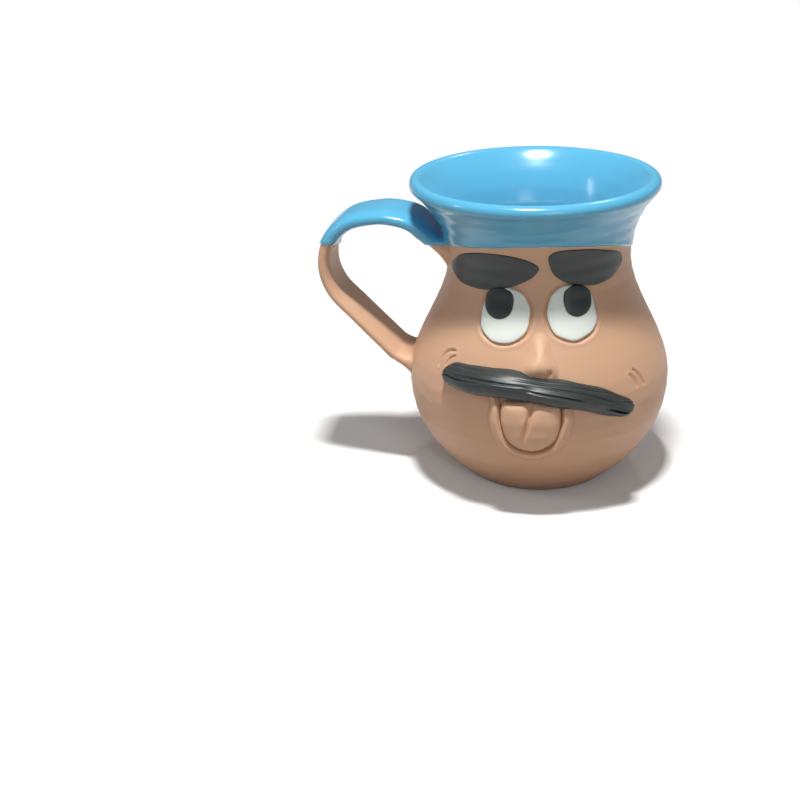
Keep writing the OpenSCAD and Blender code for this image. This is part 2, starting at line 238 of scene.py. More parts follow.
def smooth_step(u):
    u = np.clip(u, 0, 1)
    return 3 * u**2 - 2 * u**3


def ramp(low, high, value):
    return smooth_step((value - low) / (high - low))


def bell(distance, width):
    return np.exp(-((distance / width) ** 2))


def lip_point(a, grow=0.0):
    """Radius and height of a point at an angle round the lip, grown by a coat."""
    v = sizes("mug_vessel")
    reach = v.lip / 2 + grow
    return v.rim_width / 2 - v.lip / 2 + reach * np.cos(a), v.height - v.lip / 2 + reach * np.sin(a)


def flare_share(z):
    v = sizes("mug_vessel")
    return np.clip((z - v.neck_height) / (lip_point(LIP_START)[1] - v.neck_height), 0, None)


def flare_lean(z):
    """Angle by which the flare leans out at a height."""
    v = sizes("mug_vessel")
    r, top = lip_point(LIP_START)
    slope = (r - v.neck_width / 2) * FLARE_POWER / (top - v.neck_height) * flare_share(z) ** (FLARE_POWER - 1)
    return np.arctan(slope)


def flare_radius(z):
    """Outside radius of the neck and the flared mouth at a height."""
    neck_r = sizes("mug_vessel").neck_width / 2
    return neck_r + (lip_point(LIP_START)[0] - neck_r) * flare_share(z) ** FLARE_POWER


def shoulder_share(z):
    """Nought at the widest place of the bowl and one at the neck."""
    v = sizes("mug_vessel")
    return smooth_step((z - v.belly_height) / (v.neck_height - v.belly_height))


def round_radius(z):
    """Outside radius of a perfectly round wall at a height."""
    v = sizes("mug_vessel")
    z = np.asarray(z, float)
    below = np.clip((v.belly_height - z) / v.belly_height, 0, 1)
    bowl = v.belly_width / 2 - (v.belly_width - v.foot_width) / 2 * below**BOWL_POWER
    shoulder = v.belly_width / 2 + (v.neck_width - v.belly_width) / 2 * shoulder_share(z)
    return np.where(z < v.belly_height, bowl, np.where(z < v.neck_height, shoulder, flare_radius(z)))


def wall_thickness(z):
    """Level thickness of the wall, which widens with the flare."""
    v = sizes("mug_vessel")
    inside_r, inside_z = lip_point(LIP_END)
    widening = flare_radius(inside_z) - inside_r - v.neck_wall
    out = np.clip((z - v.neck_height) / (inside_z - v.neck_height), 0, 1)
    return v.wall + (v.neck_wall - v.wall) * shoulder_share(z) + widening * out**WALL_POWER


def hand_wobble(turn, z):
    """What the potter's hands add: the mouth's lean, an oval, and faint rings that climb like a thread."""
    v = sizes("mug_vessel")
    bent = -v.lean * np.clip((z - LEAN_START) / (v.height - LEAN_START), 0, 1) ** LEAN_POWER * np.sin(turn)
    oval = v.ovality * np.cos(2 * turn + 0.7 + 8 * z)
    drift = 0.5 * v.ovality * np.cos(3 * turn - 1.1 + 21 * z)
    ring = v.ring_depth * np.sin(2 * math.pi * z / v.ring_pitch - turn)
    calm = ramp(0, 12 * MM, z) * (1 - 0.75 * bell(z - 52 * MM, 22 * MM))
    return bent + (oval + drift) * ramp(0, 20 * MM, z) + ring * calm


def on_clay(degrees, z, out):
    """Points at an angle and a height, standing out from the clay."""
    turn = np.radians(degrees)
    r = round_radius(z) + hand_wobble(turn, z) + out
    return np.stack(np.broadcast_arrays(r * np.sin(turn), -r * np.cos(turn), z), axis=-1)


def turn_for(along, z):
    """Degrees round the mug that a length along the clay takes at a height."""
    return np.degrees(along / round_radius(z))


# Waves of the glaze's edge: turns round the mug, phase and strength
WAVER_WAVES = ((3, 0.6, 1), (7, 2.0, 0.6), (19, 0, 0.35), (41, 0, 0.2))


def dip_line(turn):
    """Height of the glaze's edge at an angle, on the tilted plane, with the waver of the hand."""
    g = sizes("mug_glaze")
    slope = math.tan(math.radians(g.dip_tilt))
    waver = sum(strength * np.sin(turns * turn + phase) for turns, phase, strength in WAVER_WAVES)
    z = np.full_like(turn, g.dip_height)
    for _ in range(6):
        z = g.dip_height + slope * round_radius(z) * np.cos(turn)
    return z + 0.5 * g.waver * waver


def glaze_build(above):
    """Share of the glaze's thickness at a distance above its edge. It dives into the clay below the edge."""
    g = sizes("mug_glaze")
    bead = 0.25 * bell(above - g.edge, 0.6 * g.edge)
    return -0.4 + 1.4 * ramp(-0.5 * g.edge, g.edge, above) + bead


# Curves and meshes


def smooth_curve(points, steps, closed=False):
    """Smooth curve through points, by Catmull and Rom's rule."""
    p = np.asarray(points, float)
    p = p.reshape(len(p), -1)
    count = len(p)
    pad = np.arange(-1, count + 2)
    index = pad % count if closed else np.clip(pad, 0, count - 1)
    t = (np.arange(steps) / steps)[:, None]
    rows = []
    for i in range(count if closed else count - 1):
        a, b, c, d = p[index[i : i + 4]]
        square = (2 * a - 5 * b + 4 * c - d) * t**2
        cube = (3 * b - a - 3 * c + d) * t**3
        rows.append((2 * b + (c - a) * t + square + cube) / 2)
    if not closed:
        rows.append(p[-1:])
    return np.concatenate(rows)


def loft(rings, first_tip, last_tip):
    """Vertices and faces of a closed skin over rings of equal count, with a tip beyond each end."""
    rows, sides, _ = rings.shape
    points = np.concatenate([rings.reshape(-1, 3), [first_tip, last_tip]])
    faces = []
    for i in range(rows - 1):
        for j in range(sides):
            a = i * sides + j
            b = i * sides + (j + 1) % sides
            faces.append((a, b, b + sides, a + sides))
    last = (rows - 1) * sides
    for j in range(sides):
        k = (j + 1) % sides
        faces.append((k, j, rows * sides))
        faces.append((last + j, last + k, rows * sides + 1))
    return points, faces


def new_object(name, points, faces):
    mesh = bpy.data.meshes.new(name)
    mesh.from_pydata([tuple(p) for p in points], [], faces)
    mesh.validate()
    mesh.update()
    made = bpy.data.objects.new(name, mesh)
    bpy.context.scene.collection.objects.link(made)
    return made


def finish_piece(made, slot, *nodes):
    """Gives a finished mesh the material of its slot and its place in the frame."""
    if not made.data.materials:
        made.data.materials.append(material_named(slot))
    for face in made.data.polygons:
        face.use_smooth = True
    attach(made, BODY)
    if nodes:
        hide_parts(*nodes)


def set_values(made, name, values):
    """Stores a number for each vertex, which a material may read."""
    layer = made.data.attributes.new(name, "FLOAT", "POINT")
    layer.data.foreach_set("value", np.asarray(values, np.float32))


def read_points(made):
    flat = np.zeros(len(made.data.vertices) * 3)
    made.data.vertices.foreach_get("co", flat)
    return flat.reshape(-1, 3)


def write_points(made, points):
    made.data.vertices.foreach_set("co", np.ascontiguousarray(points, float).ravel())
    made.data.update()


def line_distance(points, line):
    """Distance from flat points to a flat line of points."""
    best = np.full(len(points), 1.0)
    for a, b in zip(line[:-1], line[1:]):
        step = b - a
        t = np.clip(((points - a) @ step) / max(step @ step, 1e-12), 0, 1)
        best = np.minimum(best, np.linalg.norm(points - a - t[:, None] * step, axis=1))
    return best


# Node trees


class Wire:
    """A socket's value, on which sums are written as in Python."""

    def __init__(self, board, socket):
        self.board = board
        self.socket = socket

    def sum(self, operation, first, second):
        return self.board.maths(operation, first, second)

    def __add__(self, other):
        return self.sum("ADD", self, other)

    def __sub__(self, other):
        return self.sum("SUBTRACT", self, other)

    def __rsub__(self, other):
        return self.sum("SUBTRACT", other, self)

    def __mul__(self, other):
        return self.sum("MULTIPLY", self, other)

    def __truediv__(self, other):
        return self.sum("DIVIDE", self, other)

    __radd__ = __add__
    __rmul__ = __mul__


class Board:
    """A node tree that is filled one node at a time."""

    def __init__(self, tree):
        self.tree = tree

    def node(self, kind, settings=None, inputs=None, output=0):
        made = self.tree.nodes.new(kind)
        for name, value in (settings or {}).items():
            setattr(made, name, value)
        for key, value in (inputs or {}).items():
            if isinstance(value, Wire):
                self.tree.links.new(value.socket, made.inputs[key])
            else:
                made.inputs[key].default_value = value
        return Wire(self, made.outputs[output]) if made.outputs else made

    def maths(self, operation, *values):
        return self.node("ShaderNodeMath", {"operation": operation}, dict(enumerate(values)))

    def place(self):
        """Object coordinates in millimetres."""
        coordinates = self.node("ShaderNodeTexCoord", output=3)
        return self.node("ShaderNodeMapping", {}, {"Vector": coordinates, "Scale": (1000, 1000, 1000)})

    def stretch(self, vector, scale):
        return self.node("ShaderNodeVectorMath", {"operation": "MULTIPLY"}, {0: vector, 1: scale})

    def noise(self, vector, scale, detail=3, roughness=0.55, distortion=0):
        return self.node("ShaderNodeTexNoise", {}, {
            "Vector": vector, "Scale": scale, "Detail": detail, "Roughness": roughness,
            "Distortion": distortion,
        })

    def step(self, low, high, value):
        limits = {0: value, 1: low, 2: high, 3: 0.0, 4: 1.0}
        return self.node("ShaderNodeMapRange", {"interpolation_type": "SMOOTHSTEP"}, limits)

    def mix(self, factor, first, second):
        return self.node("ShaderNodeMix", {"data_type": "RGBA"}, {0: factor, 6: first, 7: second}, output=2)

    def dots(self, vector, scale, radius):
        """Small round spots, one to each cell of a grid of cells."""
        distance = self.node("ShaderNodeTexVoronoi", {"feature": "F1"}, {"Vector": vector, "Scale": scale})
        return 1 - self.step(radius * 0.5, radius, distance)

    def value_of(self, name):
        return self.node("ShaderNodeAttribute", {"attribute_name": name}, output=2)

    def bump(self, height, distance, strength=1.0):
        return self.node("ShaderNodeBump", {}, {"Strength": strength, "Distance": distance, "Height": height})


def new_material(name):
    """A fresh material and the board of its node tree."""
    material = bpy.data.materials.new(name)
    material.use_nodes = True
    tree = material.node_tree
    tree.nodes.clear()
    return material, Board(tree)


def surface(board, inputs):
    shader = board.node("ShaderNodeBsdfPrincipled", {}, inputs)
    board.node("ShaderNodeOutputMaterial", {}, {"Surface": shader})


def solid(colour):
    return (*colour, 1.0)


def clay_material():
    """Fired clay: patches from the kiln, wiping streaks round the pot, pits, grit and stained cuts."""
    f = sizes("mug_finish")
    material, board = new_material("bare_clay")
    place = board.place()
    patches = board.step(0.38, 0.66, board.noise(place, 0.022, 3, 0.5, 0.6))
    clouds = board.step(0.45, 0.7, board.noise(place, 0.06, 5, 0.6, 0.8))
    streaks = board.noise(board.stretch(place, (0.05, 0.05, 1.1)), 1.0, 4, 0.6)
    scum_lines = board.noise(board.stretch(place, (0.10, 0.10, 1.5)), 1.0, 3, 0.7, 0.4)
    scum_streaks = board.step(0.60, 0.78, scum_lines)
    scum_zone = board.step(0.52, 0.66, board.noise(place, 0.045, 2))
    grain = board.noise(place, 3.2, 4, 0.7)
    fine = board.noise(place, 9.0, 2, 0.6)
    pits = board.dots(place, 0.17, 0.045)
    grit = board.dots(board.stretch(place, (1.0, 1.0, 1.3)), 0.42, 0.10)
    # Painted shade of the cuts, the nostril and the tongue's slit, stored on the vertices
    painted_shade = board.value_of("painted_shade")
    pale_spot = board.value_of("pale_spot")
    scum = scum_streaks * scum_zone * 0.55 + pale_spot * 0.7 + grit * 0.25
    colour = board.mix(patches * 0.75, solid(f.clay), solid(f.clay_warm))
    # Painted light: the right side turns to a cooler tint for the cooler light there, broken up by the real
    # kiln clouds
    right = board.node("ShaderNodeSeparateXYZ", {}, {0: place}, output=0)
    painted_cool_light = board.step(-12, 34, right) * (clouds * 0.5 + 0.5)
    colour = board.mix(painted_cool_light, colour, solid(f.clay_painted_cool_light))
    colour = board.mix(clouds * 0.3, colour, solid(f.clay_pale))
    colour = board.mix(board.maths("MINIMUM", scum, 0.8), colour, solid(f.clay_pale))
    shade = board.step(0.35, 0.7, streaks) * 0.24 + board.step(0.35, 0.8, grain) * 0.14
    colour = board.mix(shade, colour, solid(f.clay_dark))
    # Painted shade: the cuts, the nostril, the tongue's slit and the pits are darkened towards the dark clay
    # colour
    painted_recess_shade = board.maths("MAXIMUM", painted_shade, pits * 0.8)
    colour = board.mix(painted_recess_shade, colour, solid(f.clay_dark))
    height = streaks * 0.35 + grain * 0.45 + fine * 0.15 - pits * 1.5
    surface(board, {
        "Base Color": colour,
        "Roughness": 0.5 + grain * 0.14 + painted_shade * 0.2 - board.step(0.4, 0.7, streaks) * 0.06,
        "Specular IOR Level": 0.42,
        "Normal": board.bump(height, 0.12 * MM, 0.75),
    })
    return material


def glaze_material():
    """Glossy blue glaze, lighter where it thins over the lip, with a faint ripple and a few pinholes."""
    f = sizes("mug_finish")
    material, board = new_material("blue_glaze")
    place = board.place()
    thin = board.value_of("thin")
    pools = board.step(0.35, 0.7, board.noise(place, 0.05, 3, 0.5, 0.5))
    mottle = board.step(0.4, 0.7, board.noise(place, 0.6, 4, 0.6))
    pinholes = board.dots(place, 0.16, 0.03)
    light = thin * 0.75 + pools * 0.16 + mottle * 0.05
    colour = board.mix(light, solid(f.glaze), solid(f.glaze_thin))
    colour = board.mix(pinholes * 0.5, colour, (0.02, 0.12, 0.2, 1.0))
    ripple = board.noise(place, 0.16, 2) + board.noise(place, 0.9, 2) * 0.1 - pinholes * 0.2
    surface(board, {
        "Base Color": colour,
        "Roughness": 0.045 + mottle * 0.02,
        "IOR": 1.56,
        "Coat Weight": 0.6,
        "Coat Roughness": 0.03,
        "Normal": board.bump(ripple, 0.25 * MM, 0.5),
    })
    return material


def dark_slip_material():
    """Dark slate slip, brushed on, rubbed a little lighter on its high places."""
    f = sizes("mug_finish")
    material, board = new_material("dark_slip")
    place = board.place()
    strokes = board.noise(board.stretch(place, (0.16, 0.16, 1.3)), 1.0, 4, 0.6, 0.3)
    cloud = board.step(0.35, 0.75, board.noise(place, 0.10, 4, 0.6))
    grain = board.noise(place, 5.0, 3, 0.7)
    worn = board.value_of("worn")
    light = cloud * 0.28 + board.step(0.5, 0.8, strokes) * 0.25 + worn * 0.55
    surface(board, {
        "Base Color": board.mix(light, solid(f.dark_slip), solid(f.dark_slip_worn)),
        "Roughness": 0.40 + cloud * 0.14 + grain * 0.08,
        "Specular IOR Level": 0.5,
        "Normal": board.bump(strokes * 0.6 + grain * 0.3, 0.10 * MM, 0.7),
    })
    return material


def white_slip_material():
    """White slip with a faint green cast, brush marks and thin places at its edge."""
    f = sizes("mug_finish")
    material, board = new_material("white_slip")
    place = board.place()
    strokes = board.noise(board.stretch(place, (0.9, 0.9, 0.22)), 1.0, 3, 0.6, 0.4)
    cloud = board.step(0.4, 0.75, board.noise(place, 0.25, 3))
    edge = board.value_of("edge")
    colour = board.mix(cloud * 0.35, solid(f.white_slip), (0.80, 0.88, 0.80, 1.0))
    colour = board.mix(edge * 0.45, colour, solid(f.clay_pale))
    surface(board, {
        "Base Color": colour,
        "Roughness": 0.46 + cloud * 0.1,
        "Normal": board.bump(strokes, 0.10 * MM, 0.6),
    })
    return material


def lathe_tree(material):
    """Geometry nodes that turn a profile's vertices round the axis, closer together over the face."""
    tree = bpy.data.node_groups.new("lathe", "GeometryNodeTree")
    face = tree.interface
    face.new_socket("Geometry", in_out="OUTPUT", socket_type="NodeSocketGeometry")
    face.new_socket("Profile", in_out="INPUT", socket_type="NodeSocketObject")
    for name in ("Rows", "Columns"):
        face.new_socket(name, in_out="INPUT", socket_type="NodeSocketInt")
    face.new_socket("Face Density", in_out="INPUT", socket_type="NodeSocketFloat")
    face.new_socket("Merge Distance", in_out="INPUT", socket_type="NodeSocketFloat")
    board = Board(tree)
    given = tree.nodes.new("NodeGroupInput")
    profile, rows, columns, density, merge = (Wire(board, given.outputs[i]) for i in range(5))
    across = columns + 1
    grid = board.node("GeometryNodeMeshGrid", {}, {"Vertices X": rows, "Vertices Y": across})
    index = board.node("GeometryNodeInputIndex")
    row = board.maths("FLOOR", (index + 0.5) / across)
    even = (index - row * across) / columns * (2 * math.pi)
    turn = even - board.maths("SINE", even) * density
    shape = board.node("GeometryNodeObjectInfo", {}, {"Object": profile}, output=4)
    position = board.node("GeometryNodeInputPosition")
    point = board.node(
        "GeometryNodeSampleIndex", {"data_type": "FLOAT_VECTOR", "domain": "POINT"},
        {"Geometry": shape, "Value": position, "Index": row},
    )
    radius = board.node("ShaderNodeSeparateXYZ", {}, {0: point})
    height = Wire(board, radius.socket.node.outputs[2])
    x = radius * board.maths("SINE", turn)
    y = radius * board.maths("COSINE", turn) * -1
    turned = board.node("ShaderNodeCombineXYZ", {}, {0: x, 1: y, 2: height})
    moved = board.node("GeometryNodeSetPosition", {}, {"Geometry": grid, "Position": turned})
    closed = board.node("GeometryNodeMergeByDistance", {}, {"Geometry": moved, "Distance": merge})
    real = board.node("GeometryNodeRealizeInstances", {}, {"Geometry": closed})
    covered = board.node("GeometryNodeSetMaterial", {}, {"Geometry": real, "Material": material})
    board.node("NodeGroupOutput", {}, {0: covered})
    return tree


def grit_tree(material):
    """Geometry nodes that scatter grains of grit over the bare clay, half sunk in it."""
    tree = bpy.data.node_groups.new("grit", "GeometryNodeTree")
    face = tree.interface
    face.new_socket("Geometry", in_out="OUTPUT", socket_type="NodeSocketGeometry")
    face.new_socket("Geometry", in_out="INPUT", socket_type="NodeSocketGeometry")
    for name in ("Density", "Smallest", "Largest"):
        face.new_socket(name, in_out="INPUT", socket_type="NodeSocketFloat")
    face.new_socket("Seed", in_out="INPUT", socket_type="NodeSocketInt")
    board = Board(tree)
    given = tree.nodes.new("NodeGroupInput")
    skin, density, smallest, largest, seed = (Wire(board, given.outputs[i]) for i in range(5))
    bare = board.node("GeometryNodeInputNamedAttribute", {"data_type": "FLOAT"}, {"Name": "bare"})
    points = board.node(
        "GeometryNodeDistributePointsOnFaces", {}, {"Mesh": skin, "Density": bare * density, "Seed": seed}
    )
    turned = Wire(board, points.socket.node.outputs[2])
    grain = board.node("GeometryNodeMeshIcoSphere", {}, {"Radius": 1.0, "Subdivisions": 1})
    size = board.node(
        "FunctionNodeRandomValue", {"data_type": "FLOAT"}, {2: smallest, 3: largest, "Seed": seed}, output=1
    )
    flat = board.node("ShaderNodeCombineXYZ", {}, {0: size, 1: size * 0.8, 2: size * 0.35})
    placed = board.node("GeometryNodeInstanceOnPoints", {}, {
        "Points": points, "Instance": grain, "Rotation": turned, "Scale": flat,
    })
    real = board.node("GeometryNodeRealizeInstances", {}, {"Geometry": placed})
    covered = board.node("GeometryNodeSetMaterial", {}, {"Geometry": real, "Material": material})
    board.node("NodeGroupOutput", {}, {0: covered})
    return tree


def run_tree(name, source, tree, inputs):
    """Runs a geometry node tree on an object and returns its result as a plain mesh object."""
    modifier = source.modifiers.new(name, "NODES")
    modifier.node_group = tree
    for item in tree.interface.items_tree:
        if item.in_out == "INPUT" and item.name in inputs:
            modifier[item.identifier] = inputs[item.name]
    source.update_tag()
    bpy.context.view_layer.update()
    graph = bpy.context.evaluated_depsgraph_get()
    mesh = bpy.data.meshes.new_from_object(source.evaluated_get(graph))
    mesh.name = name
    source.modifiers.remove(modifier)
    made = bpy.data.objects.new(name, mesh)
    bpy.context.scene.collection.objects.link(made)
    return made


def material_named(name):
    makers = {
        "bare_clay": clay_material,
        "blue_glaze": glaze_material,
        "dark_slip": dark_slip_material,
        "white_slip": white_slip_material,
    }
    return bpy.data.materials.get(name) or makers[name]()


# Incised lines, as angles and heights in millimetres on the clay

WRINKLES = (
    ((-51.4, 44.8), (-50.6, 47.4), (-48.0, 49.6), (-43.8, 50.4)),
    ((-47.0, 45.6), (-45.6, 47.7), (-42.8, 49.0)),
    ((47.0, 44.6), (50.4, 42.2), (52.4, 39.0)),
    ((44.4, 43.6), (46.6, 41.8), (47.8, 39.0)),
)
WRINKLE_WIDTH_SHARES = (1.0, 0.85, 0.8, 0.75)
SCRATCH = ((33.2, 29.2), (34.4, 28.4))
PALE_SPOT = (-36.5, 24.0)
PALE_SPOT_SIZE = 2.4 * MM
EYE_LINE_GROWTH = 1.055


def incised_lines():
    """Each incised line with its width and depth, as flat lines of degrees and metres."""
    face = sizes("mug_face")
    lines = []
    for line, width in zip(WRINKLES, WRINKLE_WIDTH_SHARES):
        curve = smooth_curve([(a, z * MM) for a, z in line], 5)
        lines.append((curve, width * face.cut_width, face.cut_depth))
    lines.append((np.array([(a, z * MM) for a, z in SCRATCH]), 0.5 * face.cut_width, 0.4 * face.cut_depth))
    for side in (0, 1):
        curve = eye_outline(side, EYE_LINE_GROWTH)
        lines.append((np.concatenate([curve, curve[:1]]), 1.35 * face.cut_width, 0.9 * face.cut_depth))
    return lines


def carve(points):
    """How deep each vertex is cut, how dark it is, and where the pale spot lies."""
    turn = np.degrees(np.arctan2(points[:, 0], -points[:, 1]))
    z = points[:, 2]
    flat_r = np.hypot(points[:, 0], points[:, 1])
    outside = flat_r > round_radius(z) - 1.2 * MM
    depth = np.zeros(len(points))
    painted_shade = np.zeros(len(points))
    for line, width, deep in incised_lines():
        low, high = line.min(axis=0), line.max(axis=0)
        margin = 6 * width
        near = outside & (z > low[1] - margin) & (z < high[1] + margin)
        near &= (turn > low[0] - 8) & (turn < high[0] + 8)
        scale = np.radians(1) * round_radius(np.mean(line[:, 1]))
        here = np.stack([turn[near] * scale, z[near]], axis=1)
        away = line_distance(here, line * (scale, 1))
        depth[near] += deep * bell(away, width) - 0.22 * deep * bell(away - 2.4 * width, 0.9 * width)
        # Painted shade: the clay darkens in each cut and just beside it
        painted_shade[near] = np.maximum(painted_shade[near], 0.98 * bell(away, 1.25 * width))
    scale = np.radians(1) * round_radius(PALE_SPOT[1] * MM)
    spot = np.hypot((turn - PALE_SPOT[0]) * scale, (z - PALE_SPOT[1] * MM) * 0.8)
    pale = np.where(outside, bell(spot, PALE_SPOT_SIZE), 0)
    return np.where(outside, depth, 0), painted_shade, pale


# Rows of faces on the outside, closer together over the face: the height up to which, and how many
OUTSIDE_ROWS = ((20 * MM, 16), (37 * MM, 22), (74 * MM, 104))
COLLAR_ROWS = 16
LIP_ROWS = 14
INSIDE_ROWS = 20
CORNER_ROWS = 7
FACE_DENSITY = 0.5
MERGE_DISTANCE = 0.002 * MM


def vessel_profile():
    """Points of the wall's section, from the middle of the foot round to the middle of the floor."""
    v = sizes("mug_vessel")
    lip_out = lip_point(LIP_START)[1]
    lip_in = lip_point(LIP_END)[1]
    corner_top = v.floor + v.floor_corner
    foot = v.foot_width / 2
    rows = [(r, 0) for r in np.linspace(0, foot - v.foot_round, 6)]
    rows.append((foot - 0.3 * v.foot_round, 0.12 * v.foot_round))
    heights = []
    low = 0.6 * v.foot_round
    for high, steps in OUTSIDE_ROWS:
        heights.extend(np.linspace(low, high, steps, endpoint=False))
        low = high
    heights.extend(np.linspace(low, lip_out, COLLAR_ROWS))
    rows += [(float(round_radius(z)), z) for z in heights]
    rows += [lip_point(a) for a in np.linspace(LIP_START, LIP_END, LIP_ROWS)[1:]]
    for z in np.linspace(lip_in, corner_top, INSIDE_ROWS)[1:]:
        rows.append((float(round_radius(z) - wall_thickness(z)), z))
    corner_r = float(round_radius(corner_top) - wall_thickness(corner_top)) - v.floor_corner
    for a in np.linspace(0, math.pi / 2, CORNER_ROWS)[1:]:
        rows.append((corner_r + v.floor_corner * math.cos(a), corner_top - v.floor_corner * math.sin(a)))
    rows += [(corner_r * (1 - t), v.floor) for t in (0.33, 0.66, 1.0)]
    return rows


def make_vessel():
    """The thrown vessel: turned by the lathe tree, then pushed out of round, carved and stained."""
    v = sizes("mug_vessel")
    rows = vessel_profile()
    profile = new_object("profile", [(r, 0, z) for r, z in rows], [])
    carrier = new_object("lathe_carrier", [(0, 0, 0)], [])
    made = run_tree("clay_vessel", carrier, lathe_tree(material_named("bare_clay")), {
        "Profile": profile, "Rows": len(rows), "Columns": v.columns,
        "Face Density": FACE_DENSITY, "Merge Distance": MERGE_DISTANCE,
    })
    for spare in (profile, carrier):
        bpy.data.objects.remove(spare)
    points = read_points(made)
    depth, painted_shade, pale = carve(points)
    turn = np.arctan2(points[:, 0], -points[:, 1])
    r = np.hypot(points[:, 0], points[:, 1])
    centre = r < 1 * MM
    r_new = np.where(centre, r, r + hand_wobble(turn, points[:, 2]) - depth)
    bare = (r > round_radius(points[:, 2]) - 0.5 * MM) & (points[:, 2] < dip_line(turn) - 2 * MM)
    bare &= points[:, 2] > 2 * MM
    write_points(made, np.stack([r_new * np.sin(turn), -r_new * np.cos(turn), points[:, 2]], axis=1))
    # The painted shade of the cuts goes to the clay material
    set_values(made, "painted_shade", painted_shade)
    set_values(made, "pale_spot", pale)
    set_values(made, "bare", bare)
    finish_piece(made, "bare_clay", "clay_body")
    return made


def make_grit(vessel):
    """Grains of grit that stand a little proud of the bare clay."""
    made = run_tree("clay_grit", vessel, grit_tree(material_named("bare_clay")), {
        "Density": 7500.0, "Smallest": 0.12 * MM, "Largest": 0.34 * MM, "Seed": 11,
    })
    finish_piece(made, "bare_clay")


# Glaze

GLAZE_COLUMNS = 280
GLAZE_SUNK = -0.25 * MM
# Rings on the collar, the lip, the inside and the corner, for the front and for the hidden back
GLAZE_FRONT_RINGS = (46, 26, 60, 10)
GLAZE_BACK_RINGS = (10, 8, 16, 5)


def make_glaze():
    """The glaze over the collar, the lip and the inside, thin at its edge and closed behind, in the clay."""
    v = sizes("mug_vessel")
    g = sizes("mug_glaze")
    lip_out = lip_point(LIP_START)[1]
    lip_in = lip_point(LIP_END)[1]
    corner_top = v.floor + v.floor_corner
    corner_r = float(round_radius(corner_top) - wall_thickness(corner_top)) - v.floor_corner
    turn = np.linspace(0, 2 * math.pi, GLAZE_COLUMNS, endpoint=False)
    edge = dip_line(turn)

    def ring(r, z, thin):
        r, z, thin = (np.broadcast_to(given, turn.shape) for given in (r, z, thin))
        radius = r + np.where(r > 1 * MM, hand_wobble(turn, z), 0)
        return np.stack([radius * np.sin(turn), -radius * np.cos(turn), z], axis=1), thin

    def path(outs, counts, behind):
        """Rings from the edge up the collar, over the lip and down to the floor."""
        rings = []
        for u in np.linspace(0, 1, counts[0]) ** 1.6:
            z = edge - 1.6 * g.edge + (lip_out - edge + 1.6 * g.edge) * u
            out = GLAZE_SUNK if behind else g.thickness * glaze_build(z - edge)
            lean = flare_lean(z)
            r = round_radius(z) + out * np.cos(lean)
            rings.append(ring(r, z - out * np.sin(lean), 0.35 * bell(z - edge, 0.8 * g.edge)))
        for a in np.linspace(LIP_START, LIP_END, counts[1])[1:]:
            crest = 0.2 + 0.8 * bell(a - math.radians(80), 1.1)
            rings.append(ring(*lip_point(a, outs), crest))
        for z in np.linspace(lip_in, corner_top, counts[2])[1:]:
            near_lip = 0.3 * bell(z - lip_in, 5 * MM)
            lean = flare_lean(z)
            r = round_radius(z) - wall_thickness(z) - outs * np.cos(lean)
            rings.append(ring(r, z + outs * np.sin(lean), near_lip))
        for a in np.linspace(0, math.pi / 2, counts[3])[1:]:
            reach = v.floor_corner - outs
            rings.append(ring(corner_r + reach * math.cos(a), corner_top - reach * math.sin(a), 0))
        for t in (0.4, 0.8, 0.98):
            rings.append(ring(np.full_like(turn, corner_r * (1 - t)), v.floor + outs, 0))
        return rings

    front = path(g.thickness, GLAZE_FRONT_RINGS, False)
    back = path(GLAZE_SUNK, GLAZE_BACK_RINGS, True)[::-1]
    rings = np.stack([p for p, _ in back + front])
    points, faces = loft(rings, rings[0].mean(axis=0), rings[-1].mean(axis=0))
    made = new_object("blue_glaze_coat", points, faces)
    set_values(made, "thin", np.concatenate([t for _, t in back + front] + [[0, 0]]))
    finish_piece(made, "blue_glaze", "glaze_coat")


# Handle

HANDLE_PATH_SHARES = ((0.2, 0.915), (0.27, 0.96), (0.38, 0.99), (0.56, 1.0), (0.8, 0.955), (0.955, 0.835),
                      (1.0, 0.67), (0.93, 0.51), (0.755, 0.365), (0.52, 0.182), (0.44, 0.12))
STRAP_SIDES = 56
STRAP_STEPS = 14
ROOT_STEPS = 20
STRAP_FLAT_POWER = 0.5
STRAP_EDGE_POWER = 0.85


def strap_section():
    a = np.linspace(0, 2 * math.pi, STRAP_SIDES, endpoint=False)
    flat = np.sign(np.cos(a)) * np.abs(np.cos(a)) ** STRAP_FLAT_POWER
    edge = np.sign(np.sin(a)) * np.abs(np.sin(a)) ** STRAP_EDGE_POWER
    return flat, edge


def root_ring(z, half_width, half_height, out):
    h = sizes("mug_handle")
    flat, edge = strap_section()
    return on_clay(h.turn + turn_for(flat * half_width, z), z + edge * half_height, out)


def strap_root(free_ring, z, half_height, grow):
    """Rings that leave the strap along its own line and spread out over the clay."""
    h = sizes("mug_handle")
    way = math.copysign(1, half_height)
    inner = root_ring(z, h.width / 2 + grow, way * (h.thickness / 2 + grow), grow)
    foot = root_ring(z, h.width / 2 + h.side_spread + grow, half_height + way * grow, grow - h.sink)
    steps = np.linspace(0, 1, ROOT_STEPS + 1)[1:]
    return [(1 - t) ** 2 * free_ring + 2 * t * (1 - t) * inner + t**2 * foot for t in steps]


